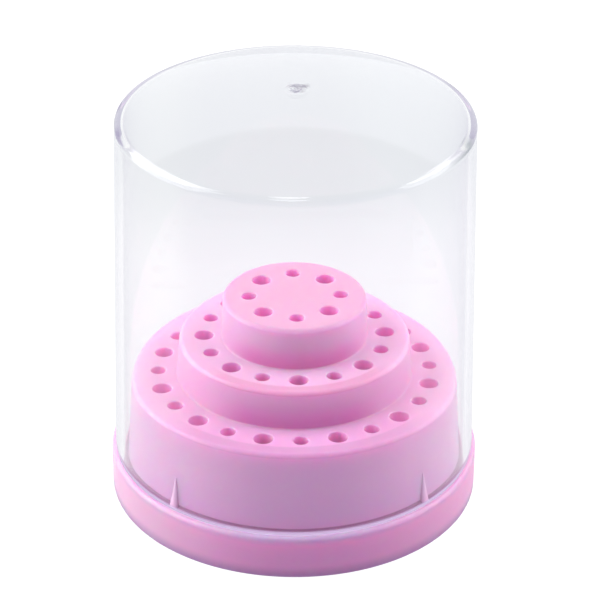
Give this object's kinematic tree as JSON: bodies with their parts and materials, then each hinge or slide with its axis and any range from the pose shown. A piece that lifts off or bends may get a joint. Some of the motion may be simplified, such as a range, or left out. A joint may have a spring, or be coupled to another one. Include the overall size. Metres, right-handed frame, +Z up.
{
  "type": "bur stand",
  "caption": "Round three-tier stand that holds dental burs upright in rings of sockets of two sizes, under a clear domed cup-shaped dust cover that lifts straight off.",
  "frame": {"origin": "centre of the base's underside, on the surface it stands on", "axes": "+Z up along the axis of both pieces, towards the cover's top; -Y is the front, where each tier has a socket on the centre line"},
  "size_m": [0.0666, 0.0666, 0.0783],
  "materials": {
    "stand_plastic": "glossy opaque pink moulded plastic",
    "cover_plastic": "clear polished moulded plastic"
  },
  "bodies": {
    "stand": {"stand_foot": "stand_plastic", "stand_lower_tier": "stand_plastic", "stand_middle_tier": "stand_plastic", "stand_upper_tier": "stand_plastic"},
    "cover": {"dust_cover": "cover_plastic"}
  },
  "joints": [
    {"name": "cover_lift", "type": "slide", "parent": "stand", "child": "cover", "axis": [0, 0, 1], "range_m": [0, 0.07]}
  ]
}
